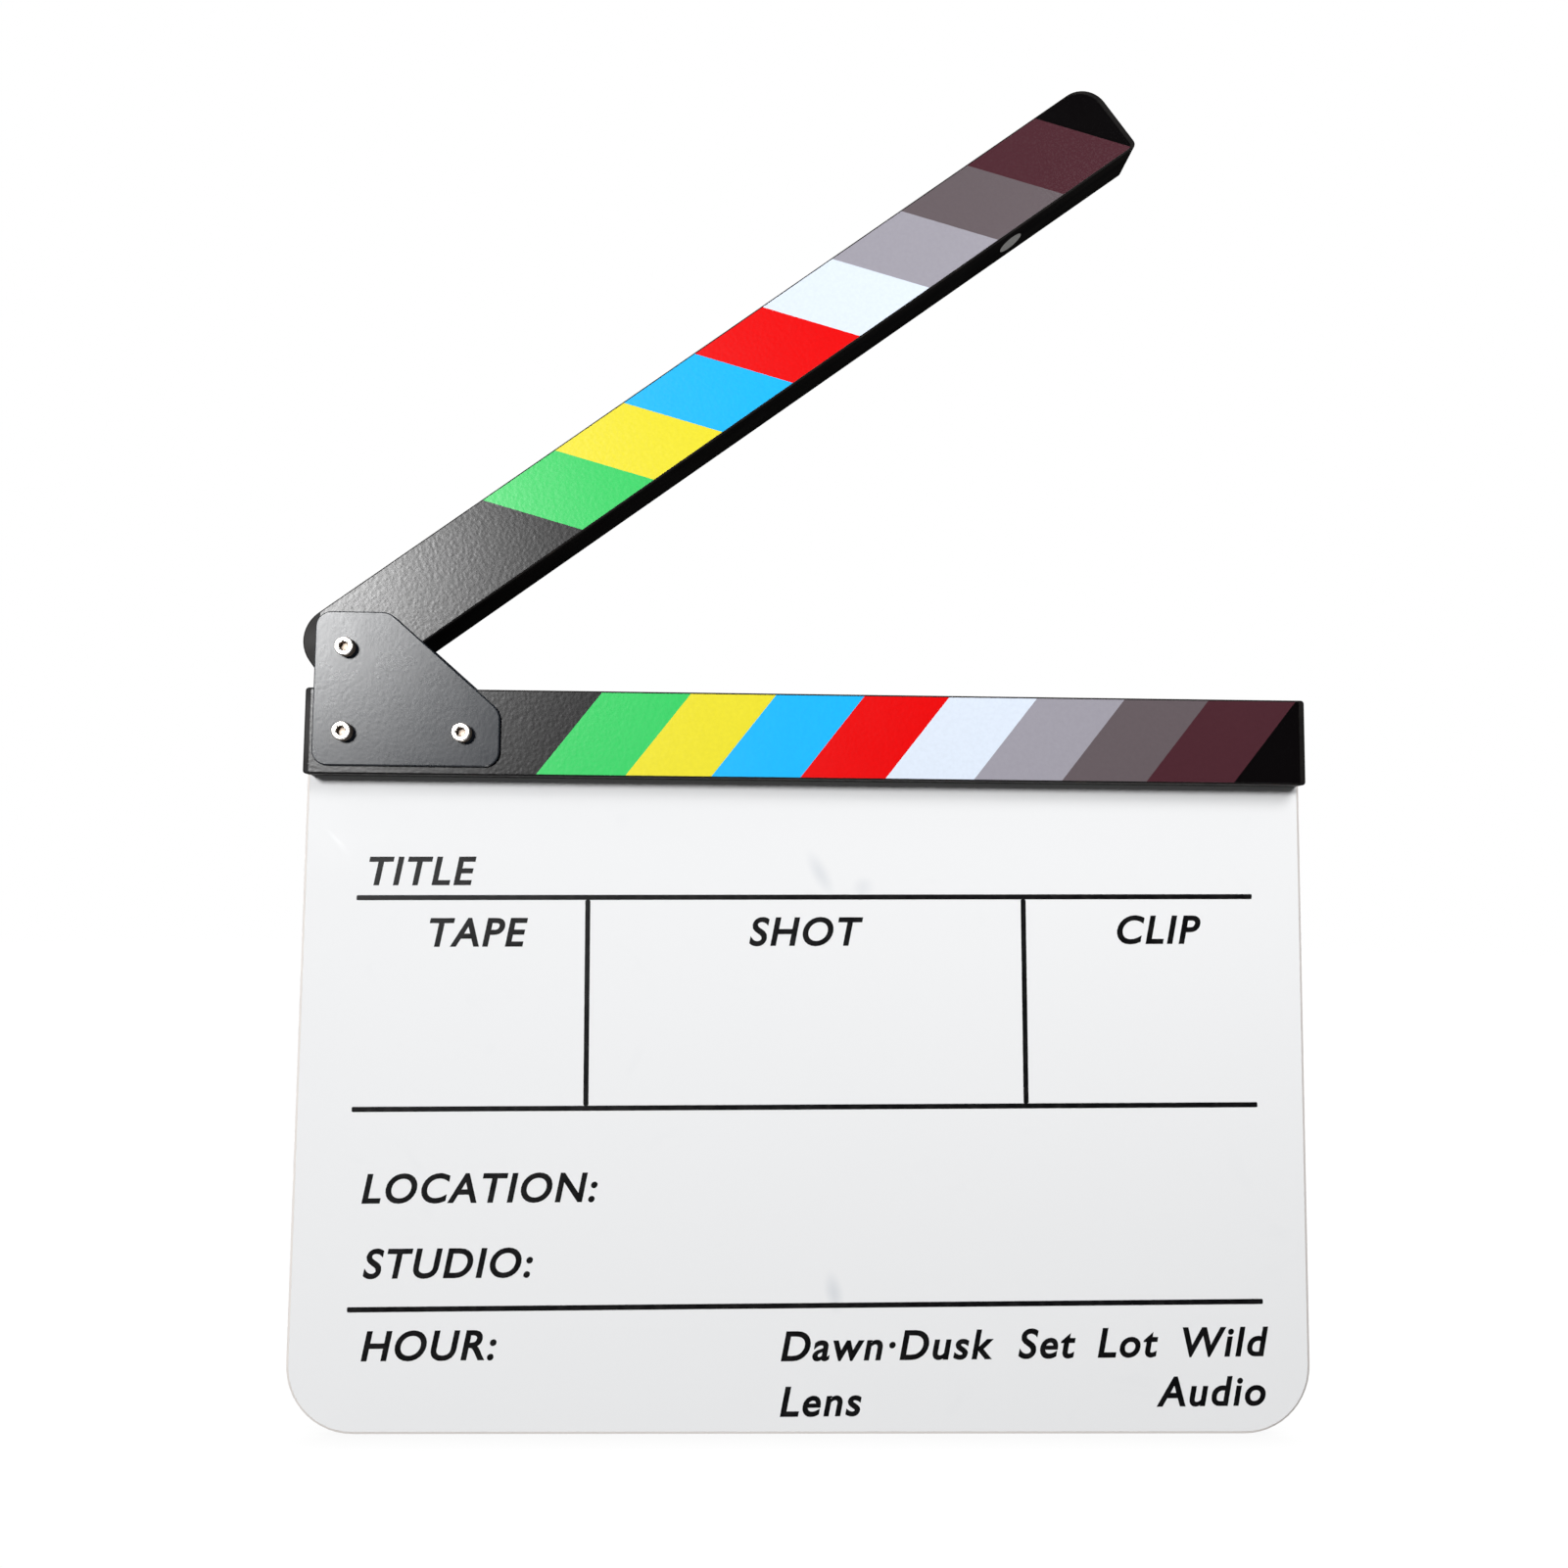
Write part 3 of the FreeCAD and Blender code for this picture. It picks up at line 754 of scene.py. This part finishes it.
def screw_rings(head, front, tip, nut_back):
    """The rings of a screw from its socket to its tip, each as y and its radius at every angle."""
    rim = head - HEAD_ROUND
    foot = head - HEAD_FOOT_STEP
    thread_start = nut_back - THREAD_PITCH
    rings = [
        (front + SOCKET_DEPTH, hexagon_radius),
        (front + SOCKET_LEAD, hexagon_radius),
        (front, lambda angle: SOCKET_MOUTH),
        (front, lambda angle: (SOCKET_MOUTH + rim) / 2),
    ]
    for step in range(HEAD_ROUND_STEPS + 1):
        turn = math.radians(90 * step / HEAD_ROUND_STEPS)
        across, deep = HEAD_ROUND * math.sin(turn), HEAD_ROUND * (1 - math.cos(turn))
        rings.append((front + deep, lambda angle, radius=rim + across: radius - RIM_STEP))
    for y in (front + KNURL_START, plate_front - KNURL_END):
        rings.append((y, lambda angle: knurl_radius(angle, head)))
    plain = (
        (plate_front - HEAD_FOOT, foot),
        (plate_front, foot),
        (plate_front, SHANK_RADIUS),
        (thread_start, SHANK_RADIUS),
    )
    for y, radius in plain:
        rings.append((y, lambda angle, radius=radius: radius))
    steps = round((tip - TIP_CHAMFER - thread_start) / THREAD_PITCH * THREAD_STEPS)
    for step in range(1, steps + 1):
        y = thread_start + step * THREAD_PITCH / THREAD_STEPS
        rings.append((y, lambda angle, y=y: thread_radius(angle, y, nut_back)))
    rings.append((tip, lambda angle: SHANK_RADIUS - TIP_CHAMFER))
    return rings


def turned_mesh(name, rings, first_end, last_end, x, z, turn):
    """A closed mesh of rings about the Y axis through (x, z), with a point in the middle of each end."""
    mesh = bmesh.new()
    angles = [2 * math.pi * step / TURN_STEPS for step in range(TURN_STEPS)]
    loops = []
    for y, radius in rings:
        loop = []
        for angle in angles:
            reach = radius(angle)
            across, up = reach * math.cos(angle + turn), reach * math.sin(angle + turn)
            loop.append(mesh.verts.new((x + across, y, z + up)))
        loops.append(loop)
    first, last = mesh.verts.new((x, first_end, z)), mesh.verts.new((x, last_end, z))
    for step in range(TURN_STEPS):
        after = (step + 1) % TURN_STEPS
        mesh.faces.new((first, loops[0][after], loops[0][step]))
        mesh.faces.new((last, loops[-1][step], loops[-1][after]))
        for loop, next_loop in zip(loops, loops[1:]):
            mesh.faces.new((loop[step], loop[after], next_loop[after], next_loop[step]))
    bmesh.ops.recalc_face_normals(mesh, faces=mesh.faces)
    made = bpy.data.meshes.new(name)
    mesh.to_mesh(made)
    mesh.free()
    made.shade_smooth()
    made.set_sharp_from_angle(angle=SHARP_ANGLE)
    return made


def add_screw(node, nut, turn):
    """A detailed screw that stands in for a CAD node, with its thread from inside the nut to its tip."""
    low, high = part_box(node)
    x, z = (low.x + high.x) / 2, (low.z + high.z) / 2
    nut_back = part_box(nut)[1].y
    rings = screw_rings((high.x - low.x) / 2, low.y, high.y, nut_back)
    mesh = turned_mesh(node, rings, low.y + SOCKET_DEPTH + SOCKET_CONE, high.y, x, z, turn)
    piece = add_piece("detailed_" + node, mesh, bright_steel, "slate")
    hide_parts(node)


for node, nut, turn in SCREWS:
    add_screw(node, nut, turn)


# Washers and nuts behind the back plate. Zinc-plated steel: flat washers, two plain nuts, and a lock nut
# on the pivot, whose tension is set once and then held by its nylon ring.
ZINC = (0.60, 0.615, 0.64, 1)
ZINC_CLOUDED = (0.44, 0.445, 0.455, 1)
ZINC_CLOUDING = (0.4, 0.75)
ZINC_ROUGHNESS = (0.26, 0.44)
ZINC_CLOUDS_PER_METRE = 800.0
ZINC_SCRATCHES_PER_METRE = 2400.0
ZINC_RELIEF = 0.008 * MM


def make_zinc():
    """Zinc plating, clouded and scratched."""
    material, tree, surface, coordinates = new_material("zinc_plate", Metallic=1.0)
    place = coordinates["Object"]
    clouds = noise(tree, place, ZINC_CLOUDS_PER_METRE, detail=5.0, distortion=0.5)
    scratches = placed(tree, hairlines, Vector=place, Density=ZINC_SCRATCHES_PER_METRE)["Mask"]
    dull = maths(tree, "MAXIMUM", rise(tree, clouds, *ZINC_CLOUDING), scratches)
    link(tree, surface, Base_Color=blended(tree, dull, ZINC, ZINC_CLOUDED))
    link(tree, surface, Roughness=spread(tree, dull, 0.0, 1.0, *ZINC_ROUGHNESS))
    link(tree, surface, Normal=bump(tree, clouds, ZINC_RELIEF))
    return material


zinc = make_zinc()
dress(zinc, "pivot_washer", "base_washer_left", "base_washer_right")
dress(zinc, "pivot_lock_nut", "base_nut_left", "base_nut_right")


# Studio. A round white floor without a horizon, a lamp before the slate to its upper left, a soft one to
# its upper right, two behind it, and a weak one below its foot for the light that a white table throws up.
# The pale light of the room comes from its sides.
FLOOR_RADIUS = 4.0
FLOOR_SEGMENTS = 96
FLOOR_SHADE = 0.95
FLOOR_WHITE = 1.02
SHADE_REACH = 0.02
SHADE_RANGE = (0.5, 0.95)
SHADE_SAMPLES = 12
ROOM_SIDES = 0.42
ROOM_SIDES_FACING = (0.25, 0.6)
KEY_WAY = Vector((-0.43, -1.0, 0.282))
KEY_DISTANCE = 1.6
KEY_SIZE = 0.37
KEY_POWER = 22.6
FILL_PLACE = Vector((0.33, -0.5, 0.55))
FILL_SIZE = 0.3
FILL_POWER = 2.4
BOUNCE_DROP = Vector((0, 0, -0.6))
BOUNCE_SIZE = 0.25
BOUNCE_POWER = 1.5
BACK_SIZE = 0.9
BACK_LEFT_WAY = Vector((-0.7, 1.1, 0.75))
BACK_LEFT_POWER = 14.0
BACK_RIGHT_WAY = Vector((0.45, 1.0, 0.95))
BACK_RIGHT_POWER = 10.0


def add_floor():
    """A white disc under the slate, shaded only where it is close to it. It casts no light on the slate."""
    mesh = bmesh.new()
    bmesh.ops.create_circle(mesh, cap_ends=True, segments=FLOOR_SEGMENTS, radius=FLOOR_RADIUS)
    made = bpy.data.meshes.new("studio_floor")
    mesh.to_mesh(made)
    mesh.free()
    material = bpy.data.materials.new("studio_white")
    material.use_nodes = True
    tree = material.node_tree
    tree.nodes.remove(tree.nodes["Principled BSDF"])
    reach = {"Distance": SHADE_REACH}
    near = add_node(tree, "ShaderNodeAmbientOcclusion", reach, samples=SHADE_SAMPLES).outputs["AO"]
    shade = spread(tree, near, *SHADE_RANGE, FLOOR_SHADE, FLOOR_WHITE)
    glow = add_node(tree, "ShaderNodeEmission", {"Strength": shade}).outputs[0]
    tree.links.new(glow, tree.nodes["Material Output"].inputs["Surface"])
    made.materials.append(material)
    floor = bpy.data.objects.new("studio_floor", made)
    bpy.context.collection.objects.link(floor)
    floor.visible_diffuse = False
    floor.visible_glossy = False
    floor.visible_shadow = False


def light_room():
    """White where the camera looks past the object. Other rays find a room with pale sides and dark ends."""
    world = bpy.data.worlds.new("studio_room")
    bpy.context.scene.world = world
    world.use_nodes = True
    tree = world.node_tree
    direction = tree.nodes.new("ShaderNodeTexCoord").outputs["Generated"]
    depth = maths(tree, "ABSOLUTE", split(tree, direction)["Y"])
    room = spread(tree, depth, *ROOM_SIDES_FACING, ROOM_SIDES, 0.0)
    seen = tree.nodes.new("ShaderNodeLightPath").outputs["Is Camera Ray"]
    strength = add_node(tree, "ShaderNodeMix", {0: seen, 2: room, 3: 1.0}, data_type="FLOAT").outputs[0]
    tree.links.new(strength, tree.nodes["Background"].inputs["Strength"])
    tree.nodes["Background"].inputs["Color"].default_value = (1, 1, 1, 1)


def add_lamp(name, place, target, size, power):
    """A round lamp at that place, turned to the target and unseen by the camera."""
    data = bpy.data.lights.new(name, "AREA")
    data.shape = "DISK"
    data.size = size
    data.energy = power
    lamp = bpy.data.objects.new(name, data)
    bpy.context.collection.objects.link(lamp)
    lamp.location = place
    lamp.rotation_euler = (target - place).to_track_quat("-Z", "Y").to_euler()
    lamp.visible_camera = False
    return lamp


add_floor()
light_room()
plate_low, plate_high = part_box("front_hinge_plate")
plate_middle = (plate_low + plate_high) / 2
sheet_low, sheet_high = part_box("slate_sheet")
sheet_foot = (sheet_low + sheet_high) / 2
sheet_foot.z = sheet_low.z
middle = (cad_box[0] + cad_box[1]) / 2
key_place = plate_middle + KEY_WAY.normalized() * KEY_DISTANCE
add_lamp("key_lamp", key_place, plate_middle, KEY_SIZE, KEY_POWER)
fill_lamp = add_lamp("fill_lamp", FILL_PLACE, middle, FILL_SIZE, FILL_POWER)
fill_lamp.visible_glossy = False
add_lamp("bounce_lamp", sheet_foot + BOUNCE_DROP, sheet_foot, BOUNCE_SIZE, BOUNCE_POWER)
add_lamp("back_lamp_left", middle + BACK_LEFT_WAY, middle, BACK_SIZE, BACK_LEFT_POWER)
add_lamp("back_lamp_right", middle + BACK_RIGHT_WAY, middle, BACK_SIZE, BACK_RIGHT_POWER)


# Camera. It stands before the slate, a little left of its middle, and looks slightly up.
# Its lens is the one that gives the board's edges the taper that they have in the photograph.
IMAGE_SIZE = 1601
FOCAL_PIXELS = 1400.0
SENSOR_WIDTH = 36.0
NEAREST_SEEN = 0.01
CAMERA_PLACE = Vector((-18.3, -418.78, 159.19)) * MM
CAMERA_TILT = math.radians(4.526)
CAMERA_ROLL = math.radians(-0.5487)
CAMERA_PAN = math.radians(-1.5573)
camera_data = bpy.data.cameras.new("camera")
camera_data.sensor_width = SENSOR_WIDTH
camera_data.lens = SENSOR_WIDTH * FOCAL_PIXELS / IMAGE_SIZE
camera_data.clip_start = NEAREST_SEEN
camera = bpy.data.objects.new("camera", camera_data)
bpy.context.collection.objects.link(camera)
camera.location = CAMERA_PLACE
camera.rotation_euler = (math.radians(90) + CAMERA_TILT, CAMERA_ROLL, CAMERA_PAN)
scene = bpy.context.scene
scene.camera = camera
scene.view_settings.view_transform = "Standard"
